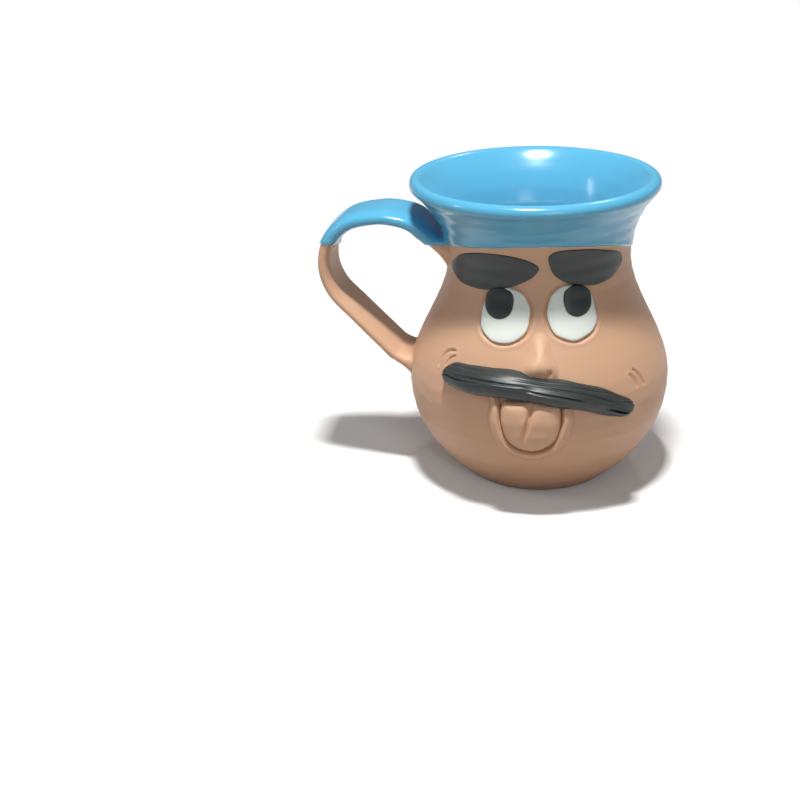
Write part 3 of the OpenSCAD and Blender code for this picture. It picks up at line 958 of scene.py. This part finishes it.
def strap_rings(grow):
    h = sizes("mug_handle")
    v = sizes("mug_vessel")
    path = smooth_curve(HANDLE_PATH_SHARES, STRAP_STEPS) * (h.reach, h.rise) + (v.neck_width / 2, h.low)
    along = np.gradient(path, axis=0)
    along /= np.linalg.norm(along, axis=1)[:, None]
    a = math.radians(h.turn)
    radial = np.array([math.sin(a), -math.cos(a), 0])
    across = np.array([math.cos(a), math.sin(a), 0])
    up = np.array([0, 0, 1])
    flat, edge = strap_section()
    free = []
    for i, (p, t) in enumerate(zip(path, along)):
        u = i / (len(path) - 1)
        wide = h.width / 2 * (1 + 0.02 * math.sin(9 * u) - 0.03 * math.sin(math.pi * u)) + grow
        thick = h.thickness / 2 * (1 + 0.05 * math.sin(13 * u + 1)) + grow
        outward = -t[1] * radial + t[0] * up
        middle = radial * p[0] + up * p[1] + across * 0.3 * MM * math.sin(5 * u)
        free.append(middle + np.outer(flat * wide, across) + np.outer(edge * thick, outward))
    upper = strap_root(free[0], h.upper_root, h.upper_spread, grow)
    lower = strap_root(free[-1], h.lower_root, -h.lower_spread, grow)
    return np.stack(upper[::-1] + free + lower)


def make_handle():
    rings = strap_rings(0)
    points, faces = loft(rings, rings[0].mean(axis=0), rings[-1].mean(axis=0))
    made = new_object("clay_strap_handle", points, faces)
    finish_piece(made, "bare_clay", "handle_strap")


def make_handle_glaze():
    """The glaze on the upper arm: the strap's own skin, grown above the dip line and sunk below it."""
    g = sizes("mug_glaze")
    inner = strap_rings(0)
    outer = strap_rings(g.thickness)
    slope = math.tan(math.radians(g.dip_tilt))
    above = inner[:, :, 2] - (g.dip_height - slope * inner[:, :, 1])
    above += 0.3 * g.waver * np.sin(inner[:, :, 1] * 900)
    rings = inner + (outer - inner) * glaze_build(above)[:, :, None]
    wet = above.max(axis=1) > -2 * g.edge
    last = int(np.nonzero(wet)[0].max()) + 1
    rings = rings[:last]
    points, faces = loft(rings, rings[0].mean(axis=0), rings[-1].mean(axis=0))
    made = new_object("blue_glaze_on_handle", points, faces)
    edges = np.tile(np.abs(strap_section()[0]) > 0.93, (len(rings), 1))
    set_values(made, "thin", np.concatenate([0.5 * edges.ravel(), [0, 0]]))
    finish_piece(made, "blue_glaze", "handle_glaze")


# Applied pieces

PAD_SIDES = 14
EYE_LINE_STEPS = 6
RIM_RINGS = 9
FACE_RINGS = 26
RIM_SHARE = 0.15


def pad_rings():
    """Shares of the outline at which rings lie: close together over the edge, then even to the middle."""
    rim = [1 - RIM_SHARE * (i / RIM_RINGS) ** 2 for i in range(RIM_RINGS)]
    face = [(1 - RIM_SHARE) * (1 - i / FACE_RINGS) for i in range(FACE_RINGS)]
    return rim + face


def flat_pad(power):
    """Height share of a pad with rounded edges. A higher power gives a flatter pad."""
    return lambda q: (1 - q**power) ** (1 / power)


def soft_mound(q):
    """Height share of a mound that runs out into the clay round it."""
    return (1 - q**2) ** 1.6


def make_pad(name, node, slot, place, half_size, thickness, shares, rise, base=0.0, relief=None, painted_shade=None,
             rough=0.006, seed=1):
    """An applied pad: rings from its sunk edge, up its side and over its face to the middle."""
    sink = sizes("mug_handle").sink
    degrees, z = place
    half_w, half_h = half_size
    shape = smooth_curve(shares, PAD_SIDES, closed=True)
    a = np.linspace(0, 2 * math.pi, len(shape), endpoint=False)
    draw = random.Random(seed)
    for turns in (2, 3, 5, 9):
        shape = shape * (1 + rough * draw.uniform(-1, 1) * np.sin(turns * a + draw.uniform(0, 6)))[:, None]
    plain = np.zeros(len(shape))
    rings = [on_clay(degrees + turn_for(shape[:, 0] * half_w, z), z + shape[:, 1] * half_h, -sink)]
    edges = [plain + 1]
    painted_shades = [plain]
    for q in pad_rings():
        x, y = shape[:, 0] * q, shape[:, 1] * q
        out = rise(q) * thickness * (relief(x, y) if relief else 1.0) + base
        rings.append(on_clay(degrees + turn_for(x * half_w, z), z + y * half_h, out))
        edges.append(plain + bell(1 - q, 0.05))
        # Painted shade for each ring, where the piece is given one
        painted_shades.append(painted_shade(x, y) if painted_shade else plain)
    middle = relief(np.zeros(1), np.zeros(1))[0] if relief else 1.0
    tip = on_clay(degrees, z, thickness * middle + base)
    core = on_clay(degrees, z, -3 * sink)
    points, faces = loft(np.stack(rings), core, tip)
    made = new_object(name, points, faces)
    set_values(made, "edge", np.append(np.concatenate(edges), [0, 0]))
    set_values(made, "painted_shade", np.append(np.concatenate(painted_shades), [0, painted_shades[-1].mean()]))
    finish_piece(made, slot, node)


LEFT_BROW_SHARES = ((1, 0.34), (0.88, 0.66), (0.52, 0.94), (0, 0.9), (-0.58, 0.44), (-0.98, -0.42),
                    (-0.62, -0.92), (-0.15, -1), (0.26, -0.86), (0.66, -0.5), (0.92, -0.06))
RIGHT_BROW_SHARES = ((1, 0.1), (0.6, 0.5), (0, 0.86), (-0.5, 1), (-0.86, 0.96), (-1, 0.62), (-0.88, -0.18),
                     (-0.6, -0.68), (-0.14, -0.94), (0.2, -1), (0.6, -0.84), (0.98, -0.4))
LEFT_EYE_SHARES = ((1, 0.1), (0.72, 0.76), (0, 1), (-0.78, 0.72), (-1, -0.05), (-0.76, -0.7), (0, -1),
                   (0.78, -0.68))
LEFT_PUPIL_SHARES = ((1, 0.08), (0.84, 0.74), (0, 1), (-0.84, 0.68), (-1, -0.1), (-0.62, -0.76), (0.1, -1),
                     (0.78, -0.68))
NOSE_SHARES = ((1, -0.55), (0.66, 0.2), (0.42, 0.8), (0, 1), (-0.42, 0.8), (-0.66, 0.2), (-1, -0.55),
               (-0.74, -0.94), (0, -1), (0.74, -0.94))
TONGUE_SHARES = ((1, 0.1), (0.96, 0.9), (0.6, 1), (-0.6, 1), (-0.98, 0.9), (-1, 0.1), (-0.72, -0.66), (0, -1),
                 (0.72, -0.66))


def mirrored(shares):
    return tuple((-x, y) for x, y in reversed(shares))


def by_side(left, side):
    return left if side == 0 else mirrored(left)


def eye_outline(side, grow):
    """Outline of an eye, as degrees and heights on the clay."""
    face = sizes("mug_face")
    z = face.eye_heights[side] * MM
    x, y = grow * smooth_curve(by_side(LEFT_EYE_SHARES, side), EYE_LINE_STEPS, closed=True).T
    degrees = face.eye_angles[side] + turn_for(x * face.eye_half_width, z)
    return np.stack([degrees, z + y * face.eye_half_height], axis=1)


BROW_POWER = 5
EYE_POWER = 3.6
PUPIL_SEAT_SHARE = 0.96


def make_brows():
    face = sizes("mug_face")
    outlines = {"left_brow": LEFT_BROW_SHARES, "right_brow": RIGHT_BROW_SHARES}
    for side, (name, shares) in enumerate(outlines.items()):
        place = (face.brow_angles[side], face.brow_heights[side] * MM)
        half_size = (face.brow_half_widths[side] * MM, face.brow_half_height)
        make_pad(
            f"slip_{name}", name, "dark_slip", place, half_size, face.brow_thickness, shares,
            flat_pad(BROW_POWER), rough=0.004, seed=3 + side,
        )


def make_eyes():
    face = sizes("mug_face")
    for side, name in enumerate(("left", "right")):
        place = (face.eye_angles[side], face.eye_heights[side] * MM)
        half_size = (face.eye_half_width, face.eye_half_height)
        make_pad(
            f"slip_{name}_eye", f"{name}_eye", "white_slip", place, half_size, face.eye_thickness,
            by_side(LEFT_EYE_SHARES, side), flat_pad(EYE_POWER), rough=0.012, seed=7 + side,
        )
        place = (face.pupil_angles[side], face.pupil_heights[side] * MM)
        half_size = (face.pupil_half_width, face.pupil_half_height)
        make_pad(
            f"slip_{name}_pupil", f"{name}_pupil", "dark_slip", place, half_size, face.pupil_thickness,
            by_side(LEFT_PUPIL_SHARES, side), flat_pad(EYE_POWER), PUPIL_SEAT_SHARE * face.eye_thickness,
            seed=11 + side,
        )


# The mound of the nose runs out beyond the pinched ridge
NOSE_SPREAD_SHARE = 1.2
NOSE_LENGTH_SHARE = 1.3
NOSE_RISE_SHARE = 0.95


def make_nose():
    face = sizes("mug_face")

    def relief(x, y):
        ridge = 0.42 + 0.72 * ramp(0.9, -0.55, y)
        nick = 0.5 * bell(x - 0.5, 0.12) * bell(y + 0.62, 0.16)
        return ridge * (1 - nick) * (1 + 0.12 * bell(x + 0.3, 0.3) * bell(y + 0.4, 0.3))

    # Painted shade in the nick of the right nostril
    def painted_nostril_shade(x, y):
        return 0.8 * bell(x - 0.56, 0.10) * bell(y + 0.64, 0.10)

    make_pad(
        "clay_nose", "nose", "bare_clay", (face.nose_angle, face.nose_height),
        (NOSE_SPREAD_SHARE * face.nose_half_width, NOSE_LENGTH_SHARE * face.nose_half_height),
        NOSE_RISE_SHARE * face.nose_thickness, NOSE_SHARES, soft_mound, relief=relief, painted_shade=painted_nostril_shade,
        rough=0.01,
    )


def bar_path(degrees, height, half_size, path_shares, swell_shares, steps):
    """The middle line of a bar, as degrees and heights on the clay, and how full the bar is along it."""
    shares = smooth_curve(path_shares, steps)
    swell = smooth_curve(swell_shares, steps)[:, 0]
    turned = degrees + turn_for(shares[:, 0] * half_size[0], height)
    return np.stack([turned, height + shares[:, 1] * half_size[1]], axis=1), swell


def new_bar(name, path, rings):
    tips = [on_clay(*path[i], 0) for i in (0, -1)]
    return new_object(name, *loft(rings, *tips))


def bar_rings(path, half_heights, outs, sides, marks=None, skirt=1.0):
    """Rings across a path of degrees and heights: a dome on the clay, closed behind inside it.

    A skirt above one draws out the side on the right of the path, so that it runs out into the clay.
    """
    sink = sizes("mug_handle").sink
    scale = np.radians(1) * round_radius(path[:, 1])
    along = np.gradient(path, axis=0)
    slope = np.arctan2(along[:, 1], along[:, 0] * scale)
    dome = np.linspace(0, math.pi, sides)
    drawn = (np.cos(dome) < 0) & (skirt > 1)
    reach = np.cos(dome) * np.where(drawn, skirt, 1.0)
    lift = np.sin(dome) ** np.where(drawn, 2.6, 1.0)
    rings = []
    for i, (p, s) in enumerate(zip(path, slope)):
        cut = marks[i] if marks is not None else 0
        high = (half_heights[i] - 0.6 * cut) * reach
        out = (outs[i] - cut) * lift
        high = np.concatenate([high, [-0.8 * half_heights[i], 0.8 * half_heights[i]]])
        out = np.concatenate([out, [-sink, -sink]])
        z = p[1] + high * math.cos(s)
        rings.append(on_clay(p[0] + turn_for(-high * math.sin(s), p[1]), z, out))
    return np.stack(rings)


MOUSTACHE_PATH_SHARES = ((-1, 0.14), (-0.97, 0.155), (-0.85, 0.19), (-0.6, 0.2), (-0.3, 0.18), (0, 0.1),
                         (0.3, -0.1), (0.6, -0.42), (0.85, -0.78), (0.97, -0.9), (1, -0.93))
MOUSTACHE_SWELL_SHARES = (0.3, 0.62, 0.88, 1, 1, 0.98, 1, 0.98, 0.86, 0.62, 0.3)
MOUSTACHE_STEPS = 26
MOUSTACHE_SIDES = 110
# Lumps and hollows: depth, place along and across, and width along and across
MOUSTACHE_LUMPS = ((1.2, 0.02, 0, 0.07, 0.3), (-1.1, -0.2, 0, 0.1, 0.25), (-0.9, -0.3, 1, 0.12, 0.3),
                   (-0.9, 0.14, 1, 0.1, 0.3))


def tool_strokes(rows, sides):
    """Depth of the tool's strokes over the moustache, as a table of shares along and across."""
    draw = random.Random(5)
    u = np.linspace(-1, 1, rows)[:, None]
    v = np.linspace(0, 1, sides)[None, :]
    depth = np.zeros((rows, sides))
    marks = sizes("mug_face").tool_marks
    for k in range(marks):
        level = 0.1 + 0.8 * (k + 0.5) / marks + draw.uniform(-0.05, 0.05)
        middle = draw.uniform(-0.85, 0.85)
        reach = draw.uniform(0.22, 0.5)
        drift = draw.uniform(-0.1, 0.3)
        wave = 0.02 * np.sin(draw.uniform(4, 9) * u + draw.uniform(0, 6))
        line = level + drift * (u - middle) + wave
        width = draw.uniform(0.016, 0.034)
        fade = ramp(reach, 0.4 * reach, np.abs(u - middle))
        stroke = bell(v - line, width) - 0.4 * bell(np.abs(v - line) - 2.2 * width, 1.2 * width)
        depth += draw.uniform(0.55, 1.0) * fade * stroke
    depth += 0.35 * np.sin(11 * u + 5 * v) + 0.24 * np.sin(23 * u - 7 * v + 1)
    for deep, along, across, long, wide in MOUSTACHE_LUMPS:
        depth += deep * bell(u - along, long) * bell(v - across, wide)
    return depth


def make_moustache():
    face = sizes("mug_face")
    path, swell = bar_path(
        face.moustache_angle, face.moustache_height, (face.moustache_half_length, face.moustache_drop),
        MOUSTACHE_PATH_SHARES, MOUSTACHE_SWELL_SHARES, MOUSTACHE_STEPS,
    )
    strokes = tool_strokes(len(path), MOUSTACHE_SIDES)
    rings = bar_rings(
        path, swell * face.moustache_half_height, swell * face.moustache_thickness, MOUSTACHE_SIDES,
        marks=strokes * face.tool_depth * swell[:, None],
    )
    made = new_bar("slip_moustache", path, rings)
    worn = np.pad(np.clip(-strokes, 0, 1), ((0, 0), (0, 2)))
    set_values(made, "worn", np.concatenate([worn.ravel(), [0, 0]]))
    finish_piece(made, "dark_slip", "moustache")


LIP_PATH_SHARES = ((-1.22, 1.06), (-1.04, 0.72), (-1, 0.1), (-0.72, -0.68), (0, -1), (0.72, -0.68), (1, 0.1),
                   (1.02, 0.66), (1.12, 0.96))
LIP_SWELL_SHARES = (0.35, 0.8, 1, 1, 1, 1, 1, 0.85, 0.4)
LIP_STEPS = 16
LIP_SIDES = 30
LIP_SKIRT = 2.6


def make_lower_lip():
    face = sizes("mug_face")
    half_w = face.tongue_half_width + face.lip_gap + face.lip_coil / 2
    half_h = face.tongue_half_height + face.lip_gap + face.lip_coil / 2
    path, swell = bar_path(
        face.mouth_angle, face.tongue_height, (half_w, half_h), LIP_PATH_SHARES, LIP_SWELL_SHARES, LIP_STEPS
    )
    rings = bar_rings(path, swell * face.lip_coil / 2, swell * face.lip_thickness, LIP_SIDES, skirt=LIP_SKIRT)
    finish_piece(new_bar("clay_lower_lip", path, rings), "bare_clay", "lower_lip")


# The tongue fills most of the gap that the lower lip leaves
TONGUE_WIDTH_SHARE = 1.04
TONGUE_LENGTH_SHARE = 1.05


def make_tongue():
    face = sizes("mug_face")

    def slit(y):
        return 0.06 + 0.2 * (y - 1)

    def relief(x, y):
        groove = 0.5 * bell(x - slit(y), 0.07) * ramp(-0.85, 0.3, y)
        hollow = 0.4 * bell(x - slit(y), 0.2) * ramp(0.2, 1.0, y)
        return 1 - groove - hollow

    # Painted shade along the tongue's slit, fuller and wider towards its top under the moustache
    def shade(x, y):
        return bell(x - slit(y), 0.035 + 0.08 * ramp(0.1, 1.0, y)) * ramp(-0.9, -0.1, y)

    make_pad(
        "clay_tongue", "tongue", "bare_clay", (face.mouth_angle, face.tongue_height),
        (TONGUE_WIDTH_SHARE * face.tongue_half_width, TONGUE_LENGTH_SHARE * face.tongue_half_height),
        face.tongue_thickness, TONGUE_SHARES, flat_pad(4), relief=relief, painted_shade=shade, rough=0.004,
    )


# Stage


LAMP_AIM = (0, 0, 0.06)
# Name, place, size, watts and colour of each lamp
LAMPS = (
    ("overhead", (-0.02, -0.17, 0.72), (0.10, 0.06), 5.6, (1.0, 0.985, 0.95)),
    ("front_fill", (0.30, -0.95, 0.40), (0.30, 0.30), 1.25, (0.97, 0.985, 1.0)),
    ("left_window", (-0.75, -0.20, 0.42), (0.022, 0.26), 0.7, (0.97, 0.98, 1.0)),
    ("back_lamp", (0.20, 0.40, 0.62), (0.05, 0.05), 0.5, (1, 1, 1)),
)


def add_lamp(name, place, size, watts, colour):
    data = bpy.data.lights.new(name, "AREA")
    data.shape = "RECTANGLE"
    data.size, data.size_y = size
    data.energy = watts
    data.color = colour
    lamp = bpy.data.objects.new(name, data)
    lamp.location = place
    lamp.rotation_euler = (Vector(LAMP_AIM) - Vector(place)).to_track_quat("-Z", "Y").to_euler()
    bpy.context.scene.collection.objects.link(lamp)


def seen_directly(board):
    """One where a ray comes straight from the camera, off a gloss or through glass."""
    path = board.node("ShaderNodeLightPath")
    outputs = path.socket.node.outputs
    names = ("Is Camera Ray", "Is Glossy Ray", "Is Transmission Ray")
    camera, glossy, clear = (Wire(board, outputs[name]) for name in names)
    clamped_sum = {"operation": "ADD", "use_clamp": True}
    return board.node("ShaderNodeMath", clamped_sum, {0: camera + glossy, 1: clear})


def floor_material():
    """A pale floor that holds the shadow and turns plain white further out. It throws back less light."""
    material, board = new_material("pale_floor")
    place = board.place()
    far = board.node("ShaderNodeVectorMath", {"operation": "LENGTH"}, {0: place}, output=1)
    white = board.step(110, 330, far) * seen_directly(board)
    mat = board.node("ShaderNodeBsdfDiffuse", {}, {"Color": (0.92, 0.92, 0.92, 1), "Roughness": 1.0})
    glow = board.node("ShaderNodeEmission", {}, {"Color": (1, 1, 1, 1), "Strength": 1.0})
    seen = board.node("ShaderNodeMixShader", {}, {0: white, 1: mat, 2: glow})
    dim = board.node("ShaderNodeBsdfDiffuse", {}, {"Color": (0.50, 0.47, 0.44, 1), "Roughness": 1.0})
    both = board.node("ShaderNodeMixShader", {}, {0: seen_directly(board), 1: dim, 2: seen})
    board.node("ShaderNodeOutputMaterial", {}, {"Surface": both})
    return material


def make_world():
    world = bpy.data.worlds.new("plain_light")
    bpy.context.scene.world = world
    world.use_nodes = True
    world.node_tree.nodes.clear()
    board = Board(world.node_tree)
    light = board.node("ShaderNodeBackground", {}, {"Color": (0.93, 0.96, 1.0, 1), "Strength": 0.17})
    white = board.node("ShaderNodeBackground", {}, {"Color": (1, 1, 1, 1), "Strength": 1.0})
    camera = Wire(board, board.node("ShaderNodeLightPath").socket.node.outputs["Is Camera Ray"])
    both = board.node("ShaderNodeMixShader", {}, {0: camera, 1: light, 2: white})
    board.node("ShaderNodeOutputWorld", {}, {"Surface": both})


def make_camera():
    s = sizes("mug_stage")
    data = bpy.data.cameras.new("camera")
    data.sensor_width = 36
    data.lens = s.lens
    camera = bpy.data.objects.new("camera", data)
    tilt = math.radians(s.elevation)
    back = Vector((0, -math.cos(tilt), math.sin(tilt)))
    place = Vector((0, 0, s.target_height)) + back * s.camera_distance
    look = Matrix.Rotation(math.pi / 2 - tilt, 4, "X")
    turns = ((s.yaw, "Y"), (s.pitch, "X"), (s.roll, "Z"))
    for degrees, axis in turns:
        look = look @ Matrix.Rotation(math.radians(degrees), 4, axis)
    camera.matrix_world = Matrix.Translation(place) @ look
    bpy.context.scene.collection.objects.link(camera)
    bpy.context.scene.camera = camera


def make_stage():
    s = sizes("mug_stage")
    half = s.floor_size / 2
    corners = [(-half, -half, 0), (half, -half, 0), (half, half, 0), (-half, half, 0)]
    floor = new_object("floor", corners, [(0, 1, 2, 3)])
    floor.data.materials.append(floor_material())
    make_world()
    make_camera()
    for lamp in LAMPS:
        add_lamp(*lamp)
    bpy.context.scene.view_settings.view_transform = "Standard"


# Operators


def make_thrown():
    make_grit(make_vessel())


# Name, what the operator does, and the makers that it runs in turn
STEPS = (
    ("vessel", "Throw the vessel, carve its lines and scatter its grit", (make_thrown,)),
    ("glaze", "Glaze the inside, the lip and the collar", (make_glaze,)),
    ("handle", "Pull the strap handle and glaze its upper arm", (make_handle, make_handle_glaze)),
    ("brows", "Lay the dark brows under the glaze line", (make_brows,)),
    ("eyes", "Lay the white eyes and their pupils", (make_eyes,)),
    ("nose", "Pinch the nose", (make_nose,)),
    ("moustache", "Roll the moustache and draw the tool along it", (make_moustache,)),
    ("mouth", "Bend the lower lip and lay the tongue inside it", (make_lower_lip, make_tongue)),
    ("stage", "Set the floor, the light and the camera", (make_stage,)),
)


def operator_for(name, text, makers):
    """The operator class of one step."""

    def execute(self, context):
        for maker in makers:
            maker()
        return {"FINISHED"}

    return type(f"MUG_OT_{name}", (bpy.types.Operator,), {
        "__doc__": text, "bl_idname": f"mug.{name}", "bl_label": name.title(),
        "bl_options": {"REGISTER", "UNDO"}, "execute": execute,
    })


OPERATORS = tuple(operator_for(*step) for step in STEPS)


class MUG_PT_panel(bpy.types.Panel):
    """Lists the pieces of the mug and their sizes"""

    bl_idname = "MUG_PT_panel"
    bl_label = "Clay Mug"
    bl_space_type = "VIEW_3D"
    bl_region_type = "UI"
    bl_category = "Clay Mug"

    def draw(self, context):
        for operator in OPERATORS:
            self.layout.operator(operator.bl_idname)
        for group, kind in SETTINGS.items():
            box = self.layout.box()
            box.label(text=kind.__doc__.split(".")[0])
            for name in kind.__annotations__:
                box.prop(getattr(context.scene, group), name)


CLASSES = (*SETTINGS.values(), *OPERATORS, MUG_PT_panel)


def register():
    for item in CLASSES:
        bpy.utils.register_class(item)
    for group, kind in SETTINGS.items():
        setattr(bpy.types.Scene, group, PointerProperty(type=kind))


def unregister():
    for group in SETTINGS:
        delattr(bpy.types.Scene, group)
    for item in reversed(CLASSES):
        bpy.utils.unregister_class(item)


def main():
    register()
    for name, _, _ in STEPS:
        getattr(bpy.ops.mug, name)()


if __name__ == "__main__":
    main()
